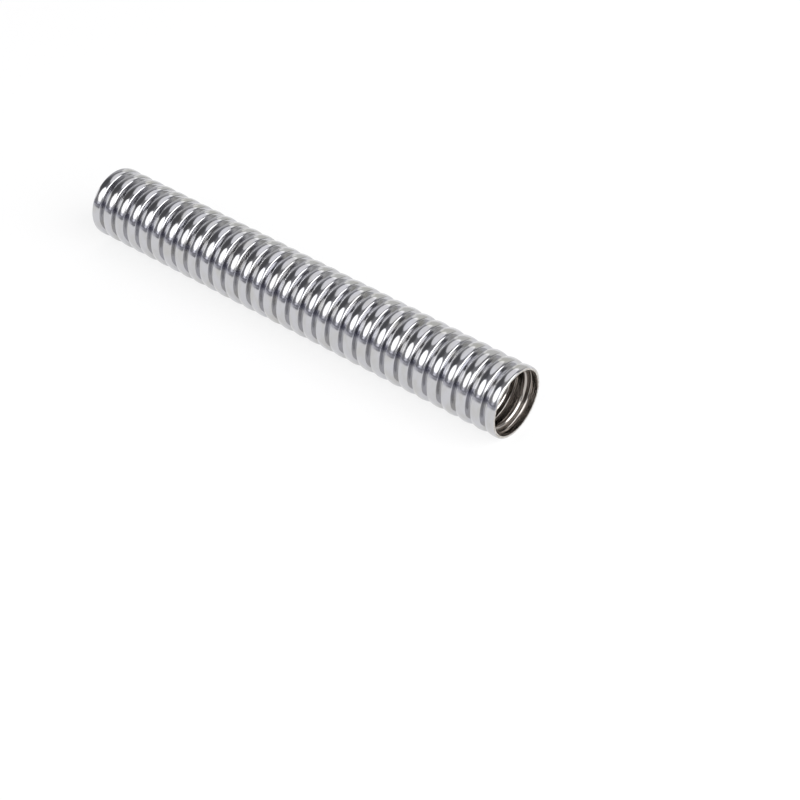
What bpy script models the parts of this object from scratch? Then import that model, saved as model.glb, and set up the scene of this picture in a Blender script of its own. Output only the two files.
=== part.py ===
"""A straight length of corrugated stainless steel hose, cut square at both ends and lying on its side.

The hose is one piece of thin tube. Its corrugations are parallel rings: each crest is a broad, slightly
rounded top with a tighter shoulder at each side, each trough is one narrow round bend, and straight
flanks that touch both join them. The hose lies along X on the surface at z = 0, centred on the origin.
"""

import math

import bpy

# Driving dimensions, in metres. The radii are those of the wall's outer surface.
OUTER_DIAMETER = 0.0214
INNER_DIAMETER = 0.0166
WALL = 0.0003
PITCH = 0.0049
CREST_COUNT = 31
CREST_TOP_RADIUS = 0.0046
CREST_TOP_ANGLE = math.radians(16)
SHOULDER_RADIUS = 0.0005
TROUGH_RADIUS = 0.0005
CUT_PAST_CREST = 0.00135

# How finely the round shapes are cut into flats, which lie on the true diameters
RING_SIDES = 24
CORNERS_PER_HALF_BEND = 1

# Finish
STEEL_COLOUR = (0.62, 0.62, 0.64, 1.0)
STEEL_ROUGHNESS = 0.18
SHARP_ANGLE = math.radians(75)
MERGE_DISTANCE = 0.000005

# Worked out from the sizes above
OUTER_RADIUS = OUTER_DIAMETER / 2
HALF_LENGTH = (CREST_COUNT - 1) * PITCH / 2 + CUT_PAST_CREST
DEPTH = OUTER_RADIUS - INNER_DIAMETER / 2 - WALL


def flank_angle():
    """The flank's slope to the hose's axis, where it touches a crest's shoulder and a trough's bend."""
    wider = CREST_TOP_RADIUS - SHOULDER_RADIUS
    run = PITCH / 2 - wider * math.sin(CREST_TOP_ANGLE)
    fall = DEPTH - wider * (1 - math.cos(CREST_TOP_ANGLE))
    bends = SHOULDER_RADIUS + TROUGH_RADIUS
    return 2 * math.atan2(fall, run + math.sqrt(run ** 2 + fall * (fall - 2 * bends)))


def crest_point(angle, inset):
    """Where half a crest has this slope, as (along, drop) from its top, inset into the wall."""
    top = CREST_TOP_RADIUS - inset
    if angle <= CREST_TOP_ANGLE:
        return top * math.sin(angle), top * (1 - math.cos(angle))
    shoulder = SHOULDER_RADIUS - inset
    wider = top - shoulder
    along = wider * math.sin(CREST_TOP_ANGLE) + shoulder * math.sin(angle)
    drop = wider * (1 - math.cos(CREST_TOP_ANGLE)) + shoulder * (1 - math.cos(angle))
    return along, drop


def trough_point(angle, inset):
    """Where half a trough has this slope, as (along, rise) from its bottom, inset into the wall."""
    radius = TROUGH_RADIUS + inset
    return radius * math.sin(angle), radius * (1 - math.cos(angle))


def bend_corners(point_at, inset):
    """The corners of half a bend whose flats touch it, from its middle to its flank."""
    step = flank_angle() / CORNERS_PER_HALF_BEND
    corners = []
    for index in range(CORNERS_PER_HALF_BEND):
        low, high = index * step, (index + 1) * step
        (low_along, low_away), (high_along, high_away) = point_at(low, inset), point_at(high, inset)
        gap = low_away - high_away + high_along * math.tan(high) - low_along * math.tan(low)
        along = gap / (math.tan(high) - math.tan(low))
        corners.append((along, low_away + (along - low_along) * math.tan(low)))
    return corners


def whole_bend(half, middle):
    """Both halves of a bend around its middle, in order along the hose."""
    before = [(middle - along, radius) for along, radius in reversed(half)]
    after = [(middle + along, radius) for along, radius in half]
    return before + after


def wall_side(inset):
    """One side of the wall, inset from its outer surface, as (along, radius) points from cut to cut."""
    crest_radius = OUTER_RADIUS - inset
    trough_radius = crest_radius - DEPTH
    half_crest = [(along, crest_radius - drop) for along, drop in bend_corners(crest_point, inset)]
    half_trough = [(along, trough_radius + rise) for along, rise in bend_corners(trough_point, inset)]
    points = []
    for crest in range(CREST_COUNT):
        middle = (crest - (CREST_COUNT - 1) / 2) * PITCH
        points += whole_bend(half_crest, middle)
        if crest < CREST_COUNT - 1:
            points += whole_bend(half_trough, middle + PITCH / 2)
    return cut_square(points)


def cut_square(points):
    """The points that lie between the two cuts, with a point added on each cut."""
    slope = math.tan(flank_angle())
    first, last = points[0], points[-1]
    kept = [point for point in points if abs(point[0]) < HALF_LENGTH]
    start_drop = max(0.0, first[0] + HALF_LENGTH) * slope
    end_drop = max(0.0, HALF_LENGTH - last[0]) * slope
    start = (-HALF_LENGTH, first[1] - start_drop)
    end = (HALF_LENGTH, last[1] - end_drop)
    return [start] + kept + [end]


def wall_section():
    """The wall's closed section: up the outer side from the far cut, and back along the bore."""
    return wall_side(0.0)[::-1] + wall_side(WALL)


def clear_scene():
    for item in list(bpy.data.objects):
        bpy.data.objects.remove(item, do_unlink=True)


def new_collection(name):
    collection = bpy.data.collections.new(name)
    bpy.context.scene.collection.children.link(collection)
    return collection


def stainless_steel():
    material = bpy.data.materials.new("stainless_steel")
    material.use_nodes = True
    shader = material.node_tree.nodes["Principled BSDF"]
    shader.inputs["Base Color"].default_value = STEEL_COLOUR
    shader.inputs["Metallic"].default_value = 1.0
    shader.inputs["Roughness"].default_value = STEEL_ROUGHNESS
    return material


def turned_mesh(name, section, collection):
    """The mesh that a closed section makes when it is turned once around the local Z axis."""
    to_corner = 1 / math.cos(math.pi / RING_SIDES)
    points = [(radius * to_corner, 0.0, along) for along, radius in section]
    edges = [(index, (index + 1) % len(points)) for index in range(len(points))]
    profile = bpy.data.meshes.new(name + "_profile")
    profile.from_pydata(points, edges, [])
    turning = bpy.data.objects.new(name + "_turning", profile)
    collection.objects.link(turning)

    screw = turning.modifiers.new("Turn", "SCREW")
    screw.axis = "Z"
    screw.angle = 2 * math.pi
    screw.steps = RING_SIDES
    screw.render_steps = RING_SIDES
    screw.use_merge_vertices = True
    screw.merge_threshold = MERGE_DISTANCE

    bpy.context.view_layer.update()
    turned = turning.evaluated_get(bpy.context.evaluated_depsgraph_get())
    mesh = bpy.data.meshes.new_from_object(turned)
    bpy.data.objects.remove(turning, do_unlink=True)
    return mesh


def make_hose(collection):
    mesh = turned_mesh("corrugated_hose", wall_section(), collection)
    mesh.name = "corrugated_hose"
    mesh.shade_smooth()
    mesh.set_sharp_from_angle(angle=SHARP_ANGLE)
    mesh.materials.clear()
    mesh.materials.append(stainless_steel())
    hose = bpy.data.objects.new("corrugated_hose", mesh)
    collection.objects.link(hose)

    # Half a step of roll about its own axis puts a flat underneath, so the hose doesn't roll away
    hose.rotation_mode = "ZYX"
    hose.rotation_euler = (0.0, math.pi / 2, math.pi / RING_SIDES)
    hose.location = (0.0, 0.0, OUTER_RADIUS)
    return hose


def main():
    clear_scene()
    parts = new_collection("corrugated_stainless_steel_hose")
    make_hose(parts)


main()
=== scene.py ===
"""The looks of the corrugated stainless steel hose: its fine surface, its steel, the floor and the light."""

import math
import random

import bpy
from mathutils import Matrix, Vector


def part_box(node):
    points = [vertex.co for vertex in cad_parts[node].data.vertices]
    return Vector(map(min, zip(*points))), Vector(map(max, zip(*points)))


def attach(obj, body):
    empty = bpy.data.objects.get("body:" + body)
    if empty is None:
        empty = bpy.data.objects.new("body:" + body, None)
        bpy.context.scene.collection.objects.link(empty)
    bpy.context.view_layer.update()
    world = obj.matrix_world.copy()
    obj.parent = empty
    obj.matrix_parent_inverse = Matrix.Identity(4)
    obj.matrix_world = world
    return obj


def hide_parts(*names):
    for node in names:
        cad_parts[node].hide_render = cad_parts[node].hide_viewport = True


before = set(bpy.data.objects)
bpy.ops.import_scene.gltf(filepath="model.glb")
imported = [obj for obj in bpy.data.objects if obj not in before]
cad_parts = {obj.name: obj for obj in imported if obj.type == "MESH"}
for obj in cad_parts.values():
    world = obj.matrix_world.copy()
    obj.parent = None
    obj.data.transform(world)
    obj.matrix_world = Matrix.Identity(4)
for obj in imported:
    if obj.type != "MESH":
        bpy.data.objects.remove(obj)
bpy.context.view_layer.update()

NODE = "corrugated_hose"
MM = 0.001

# The hose, in metres. Its length and outer diameter come from the frame.
LOW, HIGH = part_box(NODE)
HALF_LENGTH = (HIGH.x - LOW.x) / 2
OUTER_RADIUS = (HIGH.z - LOW.z) / 2
AXIS_HEIGHT = (HIGH.z + LOW.z) / 2
INNER_RADIUS = 8.3 * MM
WALL = 0.3 * MM
PITCH = 4.9 * MM
CREST_TOP_RADIUS = 4.6 * MM
CREST_TOP_ANGLE = math.radians(16)
SHOULDER_RADIUS = 0.5 * MM
TROUGH_RADIUS = 0.5 * MM
DEPTH = OUTER_RADIUS - INNER_RADIUS - WALL
CREST_COUNT = int(2 * HALF_LENGTH / PITCH) + 1
FIRST_CREST = -(CREST_COUNT - 1) * PITCH / 2

# The cutter presses the rim in a little
RIM_WIDTH = 0.25 * MM
RIM_PRESS = 0.25 * MM
RIM_STEPS = 4

# How finely it is modelled. Beside the seam, each column is split. A side's steps are those of half a
# crest's top, its shoulder, the flank and half a trough.
COLUMNS = 72
SEAM_COLUMNS = 2
SEAM_SPLIT = 4
OUTER_STEPS = (2, 4, 2, 3)
INNER_STEPS = (1, 2, 1, 4)
SHARP_ANGLE = math.radians(50)

# The weld seam is a straight line on the camera's side. Angles run from +Y towards +Z.
SEAM_ANGLE = math.radians(153)
SEAM_HALF_WIDTH = 0.35 * MM
SEAM_HEIGHT = 0.02 * MM

# A shallow groove runs along each side of the weld: its place and width are in half widths of the weld
GROOVE_SHARE = 0.4
GROOVE_PLACE = 1.6
GROOVE_WIDTH = 0.5

# What forming leaves: no two rings are quite alike
RING_RADIUS_SPREAD = 0.02 * MM
RING_PLACE_SPREAD = 0.04 * MM
RING_OVAL_SPREAD = 0.015 * MM
SEED = 7

# The steel's colours
STEEL_COLOUR = (0.555, 0.555, 0.58, 1)
SMEAR_COLOUR = (0.52, 0.515, 0.51, 1)
SEAM_COLOUR = (0.30, 0.30, 0.36, 1)
# The bore's darker, warmer colour is painted shade and a painted dark warm reflection inside the tube
BORE_PAINTED_SHADE = (0.45, 0.42, 0.395, 1)
CUT_COLOUR = (0.70, 0.69, 0.67, 1)
CUT_STAIN = (0.34, 0.30, 0.26, 1)

# How rough it is. The forming lines add or take away a little.
STEEL_ROUGHNESS, SMEAR_ROUGHNESS, LINE_ROUGHNESS = 0.11, 0.16, 0.02
SEAM_ROUGHNESS, BORE_ROUGHNESS, CUT_ROUGHNESS = 0.22, 0.12, 0.38

# The marks in it. Widths run along the hose and lengths around it, and depths are of the bump. The beads
# ripple the weld and the cut faces, and the seam's stain reaches this far to each side of the weld.
LINE_WIDTH, LINE_LENGTH, LINE_DEPTH = 0.30 * MM, 9 * MM, 0.0001 * MM
SMEAR_WIDTH, SMEAR_LENGTH, SMEAR_DEPTH = 2.5 * MM, 5 * MM, 0.012 * MM
GRAIN_SIZE, GRAIN_DEPTH = 0.12 * MM, 0.00003 * MM
BEAD_SIZE, BEAD_DEPTH = 0.35 * MM, 0.006 * MM
SEAM_STAIN, SEAM_STAIN_SHARE = 1.5 * MM, 0.7
CUT_EDGE = 0.01 * MM

# Which stretch of each noise turns into a mark, and how many layers of finer noise it has
LINE_RANGE, LINE_DETAIL = (0.3, 0.7), 3.0
SMEAR_RANGE, SMEAR_DETAIL = (0.35, 0.75), 2.0
CUT_STAIN_RANGE, BEAD_DETAIL = (0.45, 0.6), 1.0
GRAIN_DETAIL = 1.0

# The sockets of Blender's colour mix, which are reached by number
MIX_SHARE, MIX_FIRST, MIX_SECOND, MIX_RESULT = 0, 6, 7, 2

# The floor, which reaches far past the picture on each side
FLOOR_REACH = 3.0
FLOOR_COLOUR = (0.9, 0.9, 0.9, 1)
FLOOR_ROUGHNESS = 0.8
FLOOR_GLOW = 1.0
FLOOR_WHITE_SHARE = 0.8

# The soft boxes stand this far from the hose's middle, in metres
LIGHT_DISTANCE = 1.3

# The room behind the soft boxes: even, with one darker side
ROOM_COLOUR = (0.95, 0.95, 1.0, 1)
ROOM_LEVEL, DARK_LEVEL = 0.28, 0.11
DARK_AZIMUTH, DARK_ELEVATION = 192, 44
DARK_INNER, DARK_OUTER = math.radians(12), math.radians(32)

# The camera, fitted to the rings and the mouth. Its azimuth is that of the picture's right, from +X
# towards +Y, and the picture is taken as 800 x 800.
PICTURE = 800
SENSOR = 36.0
LENS = 89.0
CAMERA_AZIMUTH = math.radians(38.83)
CAMERA_ELEVATION = math.radians(40.66)
MOUTH_PIXEL = (516.6, 403.2)
MOUTH_DISTANCE = 0.5270


def flank_angle():
    """The flank's slope to the hose's axis, where it touches a crest's shoulder and a trough's bend."""
    wider = CREST_TOP_RADIUS - SHOULDER_RADIUS
    run = PITCH / 2 - wider * math.sin(CREST_TOP_ANGLE)
    fall = DEPTH - wider * (1 - math.cos(CREST_TOP_ANGLE))
    bends = SHOULDER_RADIUS + TROUGH_RADIUS
    return 2 * math.atan2(fall, run + math.sqrt(run ** 2 + fall * (fall - 2 * bends)))


SLOPE = flank_angle()


def arc(radius, angle):
    """How far along and how far away from its start an arc has come at this slope."""
    return radius * math.sin(angle), radius * (1 - math.cos(angle))


def half_crest(inset, top_steps, shoulder_steps):
    """Points (along, drop) of half a crest from its middle to its flank, measured from its top."""
    top, shoulder = CREST_TOP_RADIUS - inset, SHOULDER_RADIUS - inset
    points = [arc(top, CREST_TOP_ANGLE * step / top_steps) for step in range(top_steps)]
    aside, down = arc(top - shoulder, CREST_TOP_ANGLE)
    for step in range(shoulder_steps + 1):
        angle = CREST_TOP_ANGLE + (SLOPE - CREST_TOP_ANGLE) * step / shoulder_steps
        along, drop = arc(shoulder, angle)
        points.append((aside + along, down + drop))
    return points


def half_trough(inset, steps):
    """Points (along, rise) of half a trough from its middle to its flank, measured from its bottom."""
    return [arc(TROUGH_RADIUS + inset, SLOPE * step / steps) for step in range(steps + 1)]


def between(start, end, share):
    """The numbers that lie at this share of the way from one tuple to another."""
    return tuple(a + (b - a) * share for a, b in zip(start, end))


def half_wave(inset, steps):
    """Points (along, radius) from a crest's middle to the next trough's middle, inset into the wall."""
    top_steps, shoulder_steps, flank_steps, trough_steps = steps
    top_radius = OUTER_RADIUS - inset
    crest = [(along, top_radius - drop)
             for along, drop in half_crest(inset, top_steps, shoulder_steps)]
    trough = [(PITCH / 2 - along, top_radius - DEPTH + rise)
              for along, rise in reversed(half_trough(inset, trough_steps))]
    flank = [between(crest[-1], trough[0], step / flank_steps) for step in range(1, flank_steps)]
    return crest + flank + trough


def ring_changes():
    """For each crest and each trough: its change of radius, its shift, and how oval it is, two ways."""
    dice = random.Random(SEED)
    spreads = (RING_RADIUS_SPREAD, RING_PLACE_SPREAD, RING_OVAL_SPREAD, RING_OVAL_SPREAD)
    return [tuple(dice.gauss(0, spread) for spread in spreads) for _ in range(2 * CREST_COUNT + 1)]


RING_CHANGES = ring_changes()


def change_at(along):
    """The ring changes at a point along the hose, eased between crest and trough."""
    where = (along - FIRST_CREST) / (PITCH / 2) + 1
    index = min(max(int(math.floor(where)), 0), len(RING_CHANGES) - 2)
    share = min(max(where - index, 0.0), 1.0)
    eased = share * share * (3 - 2 * share)
    return between(RING_CHANGES[index], RING_CHANGES[index + 1], eased)


def wall_side(inset, steps):
    """One side of the wall as (along, radius) points from the far cut to the near one."""
    fall = half_wave(inset, steps)
    rise = [(PITCH - along, radius) for along, radius in reversed(fall)]
    wave = fall[:-1] + rise[:-1]
    points = []
    for crest in range(-1, CREST_COUNT):
        points += [(FIRST_CREST + crest * PITCH + along, radius) for along, radius in wave]
    return cut_square(points)


def cut_square(points):
    """The points between the two cuts. Each rim gets even points of its own, the last one on the cut."""
    rim_start = HALF_LENGTH - RIM_WIDTH
    kept = [point for point in points if abs(point[0]) < rim_start]
    rim = []
    for step in range(RIM_STEPS + 1):
        along = rim_start + RIM_WIDTH * step / RIM_STEPS
        here, there = next((a, b) for a, b in zip(points, points[1:]) if a[0] <= along < b[0])
        share = (along - here[0]) / (there[0] - here[0])
        radius = here[1] + (there[1] - here[1]) * share
        rim.append((along, radius - RIM_PRESS * (step / RIM_STEPS) ** 2))
    return [(-along, radius) for along, radius in reversed(rim)] + kept + rim


def column_angles():
    """The angles of the mesh's columns, closer together beside the seam."""
    step = 2 * math.pi / COLUMNS
    angles = []
    for column in range(COLUMNS):
        near_seam = min(column, COLUMNS - 1 - column) < SEAM_COLUMNS
        parts = SEAM_SPLIT if near_seam else 1
        angles += [SEAM_ANGLE + (column + part / parts) * step for part in range(parts)]
    return angles


def seam_lift(angle, radius):
    """How far the weld bead stands out at an angle, on a wall of that radius."""
    turn = (angle - SEAM_ANGLE + math.pi) % (2 * math.pi) - math.pi
    away = abs(turn) * radius / SEAM_HALF_WIDTH
    groove = GROOVE_SHARE * math.exp(-((away - GROOVE_PLACE) / GROOVE_WIDTH) ** 2)
    return SEAM_HEIGHT * (math.exp(-away ** 2) - groove)


def hose_mesh():
    """The whole wall, its section carried round the axis, with an attribute that is 1 in the bore."""
    outer = wall_side(0.0, OUTER_STEPS)
    inner = wall_side(WALL, INNER_STEPS)
    section = [(x, r, 1) for x, r in outer] + [(x, r, -1) for x, r in reversed(inner)]
    angles = column_angles()
    vertices, faces = [], []
    for angle in angles:
        for x, r, side in section:
            more, shift, oval, lean = change_at(x)
            if abs(x) >= HALF_LENGTH:
                shift = 0.0
            r += more + oval * math.cos(2 * angle) + lean * math.sin(2 * angle)
            r += side * seam_lift(angle, r)
            vertices.append((x + shift, r * math.cos(angle), AXIS_HEIGHT + r * math.sin(angle)))
    rows = len(section)
    for column in range(len(angles)):
        here, there = column * rows, (column + 1) % len(angles) * rows
        for row in range(rows):
            above = (row + 1) % rows
            faces.append((here + row, there + row, there + above, here + above))
    mesh = bpy.data.meshes.new("steel_hose")
    mesh.from_pydata(vertices, [], faces)
    bore = mesh.attributes.new("bore", "FLOAT", "POINT")
    bore.data.foreach_set("value", [float(side < 0) for _ in angles for x, r, side in section])
    mesh.shade_smooth()
    mesh.set_sharp_from_angle(angle=SHARP_ANGLE)
    return mesh


def add_node(tree, kind, **values):
    """Adds a shader node with these settings."""
    node = tree.nodes.new(kind)
    for name, value in values.items():
        setattr(node, name, value)
    return node


def feed(tree, node, name, value):
    """Puts a number, a colour or another node's output into a node's input."""
    if isinstance(value, bpy.types.NodeSocket):
        tree.links.new(value, node.inputs[name])
    else:
        node.inputs[name].default_value = value


def calculate(tree, operation, *values):
    """The result of one sum on numbers or other nodes' outputs."""
    node = add_node(tree, "ShaderNodeMath", operation=operation)
    for index, value in enumerate(values):
        feed(tree, node, index, value)
    return node.outputs[0]


def ramp_between(tree, value, low, high, to_low=0.0, to_high=1.0):
    """The value carried smoothly from one range to another."""
    node = add_node(tree, "ShaderNodeMapRange", interpolation_type="SMOOTHSTEP")
    for name, number in (("Value", value), ("From Min", low), ("From Max", high),
                         ("To Min", to_low), ("To Max", to_high)):
        feed(tree, node, name, number)
    return node.outputs["Result"]


def mix_colours(tree, share, first, second):
    """The first colour where the share is 0, the second where it is 1."""
    node = add_node(tree, "ShaderNodeMix", data_type="RGBA")
    feed(tree, node, MIX_SHARE, share)
    feed(tree, node, MIX_FIRST, first)
    feed(tree, node, MIX_SECOND, second)
    return node.outputs[MIX_RESULT]


def noise(tree, place, along, around, detail):
    """Noise whose grains are so long along the hose and around it."""
    stretch = add_node(tree, "ShaderNodeMapping")
    feed(tree, stretch, "Vector", place)
    stretch.inputs["Scale"].default_value = (1 / along, 1 / around, 1 / around)
    node = add_node(tree, "ShaderNodeTexNoise")
    feed(tree, node, "Vector", stretch.outputs[0])
    node.inputs["Scale"].default_value = 1.0
    node.inputs["Detail"].default_value = detail
    return node.outputs["Fac"]


def turned_sum(tree, y, z, y_share, z_share):
    """y and z, each times its own constant, added up."""
    return calculate(tree, "ADD", calculate(tree, "MULTIPLY", y, y_share),
                     calculate(tree, "MULTIPLY", z, z_share))


def seam_share(tree, y, z):
    """1 on the weld seam, falling to 0 a little to each side of it."""
    beside = turned_sum(tree, y, z, -math.sin(SEAM_ANGLE), math.cos(SEAM_ANGLE))
    out = turned_sum(tree, y, z, math.cos(SEAM_ANGLE), math.sin(SEAM_ANGLE))
    near = ramp_between(tree, calculate(tree, "ABSOLUTE", beside), SEAM_STAIN, SEAM_HALF_WIDTH / 2)
    return calculate(tree, "MULTIPLY", near, calculate(tree, "GREATER_THAN", out, 0.0))


def steel_material():
    """Bright rolled steel with lines round the rings, a fine grain, smears, the seam and the cuts, and
    painted shade in the bore.
    """
    material = bpy.data.materials.new("stainless_steel")
    material.use_nodes = True
    tree = material.node_tree
    shader = tree.nodes["Principled BSDF"]
    place = add_node(tree, "ShaderNodeTexCoord").outputs["Object"]
    axes = add_node(tree, "ShaderNodeSeparateXYZ")
    feed(tree, axes, 0, place)
    x, y = axes.outputs[0], axes.outputs[1]
    z = calculate(tree, "SUBTRACT", axes.outputs[2], AXIS_HEIGHT)

    # Where each mark is
    lines = noise(tree, place, LINE_WIDTH, LINE_LENGTH, LINE_DETAIL)
    smears = noise(tree, place, SMEAR_WIDTH, SMEAR_LENGTH, SMEAR_DETAIL)
    grain = noise(tree, place, GRAIN_SIZE, GRAIN_SIZE, GRAIN_DETAIL)
    beads = noise(tree, place, BEAD_SIZE, BEAD_SIZE, BEAD_DETAIL)
    seam = seam_share(tree, y, z)
    cut = calculate(tree, "GREATER_THAN", calculate(tree, "ABSOLUTE", x), HALF_LENGTH - CUT_EDGE)
    bore = add_node(tree, "ShaderNodeAttribute", attribute_name="bore").outputs["Fac"]

    colour = mix_colours(tree, ramp_between(tree, smears, *SMEAR_RANGE), STEEL_COLOUR, SMEAR_COLOUR)
    seam_stain = calculate(tree, "MULTIPLY", seam, SEAM_STAIN_SHARE)
    colour = mix_colours(tree, seam_stain, colour, SEAM_COLOUR)
    # Painted shade: the bore takes a darker, warmer colour for the shade and dark reflections inside the
    # tube
    colour = mix_colours(tree, bore, colour, BORE_PAINTED_SHADE)
    cut_colour = mix_colours(tree, ramp_between(tree, beads, *CUT_STAIN_RANGE), CUT_COLOUR, CUT_STAIN)
    colour = mix_colours(tree, cut, colour, cut_colour)
    feed(tree, shader, "Base Color", colour)
    shader.inputs["Metallic"].default_value = 1.0

    line_part = ramp_between(tree, lines, *LINE_RANGE, -LINE_ROUGHNESS, LINE_ROUGHNESS)
    smear_part = ramp_between(tree, smears, *SMEAR_RANGE, STEEL_ROUGHNESS, SMEAR_ROUGHNESS)
    rough = calculate(tree, "ADD", line_part, smear_part)
    rough = calculate(tree, "MULTIPLY_ADD", bore, BORE_ROUGHNESS - STEEL_ROUGHNESS, rough)
    rough = calculate(tree, "MULTIPLY_ADD", seam, SEAM_ROUGHNESS - STEEL_ROUGHNESS, rough)
    rough = calculate(tree, "MAXIMUM", rough, calculate(tree, "MULTIPLY", cut, CUT_ROUGHNESS))
    feed(tree, shader, "Roughness", rough)

    height = calculate(tree, "MULTIPLY", lines, LINE_DEPTH)
    height = calculate(tree, "MULTIPLY_ADD", smears, SMEAR_DEPTH, height)
    height = calculate(tree, "MULTIPLY_ADD", grain, GRAIN_DEPTH, height)
    ripple = calculate(tree, "MULTIPLY", beads, calculate(tree, "MAXIMUM", seam, cut))
    height = calculate(tree, "MULTIPLY_ADD", ripple, BEAD_DEPTH, height)
    bump = add_node(tree, "ShaderNodeBump")
    feed(tree, bump, "Height", height)
    bump.inputs["Strength"].default_value = 1.0
    bump.inputs["Distance"].default_value = 1.0
    feed(tree, shader, "Normal", bump.outputs[0])
    return material


def make_hose():
    """The fine hose in the solid's place, carried stiff and straight on the root body."""
    mesh = hose_mesh()
    mesh.materials.append(steel_material())
    hose = bpy.data.objects.new("steel_hose", mesh)
    bpy.context.scene.collection.objects.link(hose)
    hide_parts(NODE)
    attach(hose, "root")


def make_camera():
    """The photograph's camera, from which the mouth's middle is seen at its own pixel."""
    right = Vector((math.cos(CAMERA_AZIMUTH), math.sin(CAMERA_AZIMUTH), 0))
    back = Vector((math.sin(CAMERA_AZIMUTH) * math.cos(CAMERA_ELEVATION),
                   -math.cos(CAMERA_AZIMUTH) * math.cos(CAMERA_ELEVATION),
                   math.sin(CAMERA_ELEVATION)))
    up = back.cross(right)
    pixels = PICTURE * LENS / SENSOR
    aside = (MOUTH_PIXEL[0] - PICTURE / 2) / pixels * MOUTH_DISTANCE
    below = (MOUTH_PIXEL[1] - PICTURE / 2) / pixels * MOUTH_DISTANCE
    mouth = Vector((HALF_LENGTH, 0, AXIS_HEIGHT))
    place = mouth + back * MOUTH_DISTANCE - right * aside + up * below
    turn = Matrix((right, up, back)).transposed().to_4x4()
    camera = bpy.data.objects.new("camera", bpy.data.cameras.new("camera"))
    camera.data.lens = LENS
    camera.data.sensor_width = SENSOR
    camera.matrix_world = Matrix.Translation(place) @ turn
    bpy.context.scene.collection.objects.link(camera)
    bpy.context.scene.camera = camera


def make_floor():
    """A wide pale floor, nearly white where it is seen or mirrored, that keeps the hose's shadow."""
    far = FLOOR_REACH
    corners = [(-far, -far, 0), (far, -far, 0), (far, far, 0), (-far, far, 0)]
    mesh = bpy.data.meshes.new("floor")
    mesh.from_pydata(corners, [], [(0, 1, 2, 3)])
    floor = bpy.data.objects.new("floor", mesh)
    bpy.context.scene.collection.objects.link(floor)
    material = bpy.data.materials.new("pale_floor")
    material.use_nodes = True
    tree = material.node_tree
    shader = tree.nodes["Principled BSDF"]
    shader.inputs["Base Color"].default_value = FLOOR_COLOUR
    shader.inputs["Roughness"].default_value = FLOOR_ROUGHNESS
    glow = add_node(tree, "ShaderNodeEmission")
    glow.inputs["Strength"].default_value = FLOOR_GLOW
    ray = add_node(tree, "ShaderNodeLightPath")
    seen = calculate(tree, "MAXIMUM", ray.outputs["Is Camera Ray"], ray.outputs["Is Glossy Ray"])
    seen = calculate(tree, "MAXIMUM", seen, ray.outputs["Is Transmission Ray"])
    mix = add_node(tree, "ShaderNodeMixShader")
    feed(tree, mix, 0, calculate(tree, "MULTIPLY", seen, FLOOR_WHITE_SHARE))
    feed(tree, mix, 1, shader.outputs[0])
    feed(tree, mix, 2, glow.outputs[0])
    feed(tree, tree.nodes["Material Output"], "Surface", mix.outputs[0])
    mesh.materials.append(material)


def direction_to(azimuth, elevation):
    """The direction at an azimuth (from +X towards +Y) and an elevation, both in degrees."""
    a, e = math.radians(azimuth), math.radians(elevation)
    return Vector((math.cos(a) * math.cos(e), math.sin(a) * math.cos(e), math.sin(e)))


def soft_light(name, azimuth, elevation, width, height, radiance, roll=0.0, colour=(1, 1, 1)):
    """An oval soft box of this size in metres that faces the hose, with its roll in degrees."""
    towards = direction_to(azimuth, elevation)
    area = math.pi / 4 * width * height
    data = bpy.data.lights.new(name, "AREA")
    data.shape = "ELLIPSE"
    data.size = width
    data.size_y = height
    data.energy = radiance * math.pi * area
    data.color = colour
    light = bpy.data.objects.new(name, data)
    light.location = towards * LIGHT_DISTANCE
    light.rotation_mode = "QUATERNION"
    turn = Matrix.Rotation(math.radians(roll), 3, "Z").to_quaternion()
    light.rotation_quaternion = towards.to_track_quat("Z", "Y") @ turn
    bpy.context.scene.collection.objects.link(light)


def make_lights():
    """The soft boxes that the steel mirrors."""
    soft_light("key_box", azimuth=243, elevation=38, width=0.86, height=1.12, radiance=1.9, roll=22)
    soft_light("side_box", azimuth=126, elevation=60, width=0.84, height=1.50, radiance=0.84, roll=-24,
               colour=(0.98, 0.98, 1.0))
    soft_light("low_box", azimuth=147, elevation=15, width=1.10, height=0.70, radiance=0.32)
    soft_light("far_box", azimuth=197, elevation=11, width=0.50, height=0.60, radiance=0.9)
    soft_light("strip_box", azimuth=292, elevation=43, width=0.40, height=1.35, radiance=2.2, roll=-8)
    soft_light("back_box", azimuth=100, elevation=12, width=1.60, height=1.50, radiance=0.50,
               colour=(1.0, 1.0, 0.90))
    soft_light("mouth_box", azimuth=3, elevation=33, width=1.80, height=1.40, radiance=4.0)


def make_room():
    """The even room, which falls off smoothly towards its darker side."""
    world = bpy.data.worlds.new("studio")
    world.use_nodes = True
    tree = world.node_tree
    direction = add_node(tree, "ShaderNodeTexCoord").outputs["Generated"]
    dot = add_node(tree, "ShaderNodeVectorMath", operation="DOT_PRODUCT")
    feed(tree, dot, 0, direction)
    feed(tree, dot, 1, direction_to(DARK_AZIMUTH, DARK_ELEVATION))
    level = ramp_between(tree, dot.outputs["Value"], math.cos(DARK_OUTER), math.cos(DARK_INNER),
                         ROOM_LEVEL, DARK_LEVEL)
    background = tree.nodes["Background"]
    background.inputs["Color"].default_value = ROOM_COLOUR
    feed(tree, background, "Strength", level)
    bpy.context.scene.world = world


make_hose()
make_floor()
make_lights()
make_room()
make_camera()
bpy.context.scene.view_settings.view_transform = "Standard"
